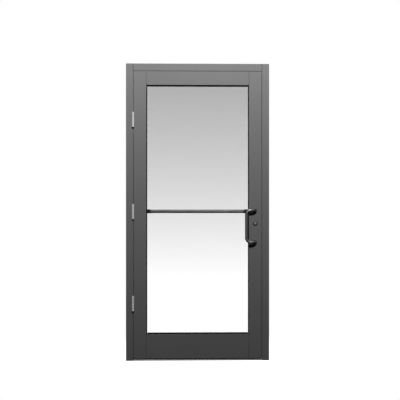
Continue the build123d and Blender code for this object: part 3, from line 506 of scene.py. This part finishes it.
for name in ("key", "left", "right"):
    softLamp(name + "Lamp", lightLook[name])
world = bpy.data.worlds.new("whiteStudio")
scene.world = world
world.use_nodes = True
tree = world.node_tree
tree.nodes.clear()
path = addNode(tree, "ShaderNodeLightPath")
aim = addNode(tree, "ShaderNodeTexCoord").outputs["Generated"]  # the way a ray leaves, as a unit vector
way = addNode(tree, "ShaderNodeSeparateXYZ", links={"Vector": aim}).outputs
rise = lightLook["levelRise"]
level = addNode(tree, "ShaderNodeMapRange", {"From Min": rise[0], "From Max": rise[1], "To Min": lightLook["low"],
                                             "To Max": lightLook["level"]}, {"Value": way["Z"]}).outputs[0]
rise = lightLook["overheadRise"]
above = addNode(tree, "ShaderNodeMapRange", {"From Min": rise[0], "From Max": rise[1], "To Min": 0.0,
                                             "To Max": lightLook["overhead"]}, {"Value": way["Z"]}).outputs[0]
across = addNode(tree, "ShaderNodeMath", {"operation": "ABSOLUTE"}, {0: way["Y"]}).outputs[0]
rise = lightLook["frontRise"]
share = addNode(tree, "ShaderNodeMapRange", {"From Min": rise[0], "From Max": rise[1],
                                             "To Min": lightLook["beside"]}, {"Value": across}).outputs[0]
mirrored = addNode(tree, "ShaderNodeMath", {"operation": "MULTIPLY_ADD"},
                   {0: level, 1: share, 2: above}).outputs[0]
toSurface = addNode(tree, "ShaderNodeMix", {"data_type": "FLOAT", 2: lightLook["diffuse"]},
                    {0: path.outputs["Is Glossy Ray"], 3: mirrored}).outputs[0]
seen = addNode(tree, "ShaderNodeMapRange", {"To Min": lightLook["backdrop"], "To Max": lightLook["throughGlass"]},
               {"Value": path.outputs["Transparent Depth"]}).outputs[0]
strength = addNode(tree, "ShaderNodeMix", {"data_type": "FLOAT"},
                   {0: path.outputs["Is Camera Ray"], 2: toSurface, 3: seen}).outputs[0]
white = addNode(tree, "ShaderNodeBackground", {"Color": (1, 1, 1, 1)}, {"Strength": strength})
addNode(tree, "ShaderNodeOutputWorld", links={"Surface": white.outputs[0]})
scene.view_settings.view_transform = "Standard"
print("light set")


# Floor

floorLook = {
    "radius": 1.5, "middle": (0.0, -0.58), "drop": 0.5 * mm,  # just under the sill
    "near": 1.50, "far": 1.00, "fadeFrom": 0.5, "fadeTo": 1.1,  # glow, and the distances between which it fades
}


def studioFloor(look):
    # A flat disc of rings and spokes, the rings closer together at its middle, pale and lit from within so that it
    # runs out to white, as bright behind the glass as the backdrop is.
    spokes, rings = 96, 24
    angle = np.arange(spokes) * (2 * math.pi / spokes)
    reach = look["radius"] * np.linspace(0, 1, rings + 1)[1:, None] ** 2
    east, north = look["middle"]
    drop = np.full((rings, spokes), -look["drop"])
    ring = np.stack([east + reach * np.cos(angle), north + reach * np.sin(angle), drop], -1).reshape(-1, 3)
    here = np.arange(spokes)
    there = (here + 1) % spokes
    row = 1 + np.arange(rings - 1)[:, None] * spokes
    quads = np.stack([row + here, row + spokes + here, row + spokes + there, row + there], -1).reshape(-1, 4)
    fan = np.stack([np.zeros_like(here), 1 + here, 1 + there], -1)
    mesh = bpy.data.meshes.new("floor")
    points = np.vstack([[[east, north, -look["drop"]]], ring])
    mesh.from_pydata(points.tolist(), [], fan.tolist() + quads.tolist())
    material, tree = newMaterial("paleStudioFloor")
    where = addNode(tree, "ShaderNodeTexCoord").outputs["Object"]
    away = addNode(tree, "ShaderNodeVectorMath", {"operation": "LENGTH"}, {0: where}).outputs["Value"]
    glow = addNode(tree, "ShaderNodeMapRange", {"From Min": look["fadeFrom"], "From Max": look["fadeTo"],
                                                "To Min": look["near"], "To Max": look["far"]}, {"Value": away})
    depth = addNode(tree, "ShaderNodeLightPath").outputs["Transparent Depth"]
    lift = addNode(tree, "ShaderNodeMapRange", {"To Min": 1.0, "To Max": lightLook["throughGlass"]},
                   {"Value": depth})
    strength = addNode(tree, "ShaderNodeMath", {"operation": "MULTIPLY"},
                       {0: glow.outputs[0], 1: lift.outputs[0]})
    shader = addNode(tree, "ShaderNodeEmission", {"Color": (1, 1, 1, 1)}, {"Strength": strength.outputs[0]})
    addNode(tree, "ShaderNodeOutputMaterial", links={"Surface": shader.outputs[0]})
    mesh.materials.append(material)
    floor = bpy.data.objects.new("floor", mesh)
    scene.collection.objects.link(floor)
    floor.visible_diffuse = False  # the glow whitens the picture and leaves the light on the door alone
    floor.visible_glossy = False


studioFloor(floorLook)
print("floor laid")


# Camera

cameraLook = {  # level, and slightly left of the door
    "place": (-0.0825, -5.057, 1.1391), "turn": math.radians(1.1336), "lens": 63.467, "sensor": 36.0,
}
camera = bpy.data.cameras.new("photoCamera")
camera.lens = cameraLook["lens"]
camera.sensor_width = cameraLook["sensor"]
holder = bpy.data.objects.new("photoCamera", camera)
holder.location = cameraLook["place"]
holder.rotation_euler = (math.pi / 2, 0.0, -cameraLook["turn"])
scene.collection.objects.link(holder)
scene.camera = holder
print("camera placed")
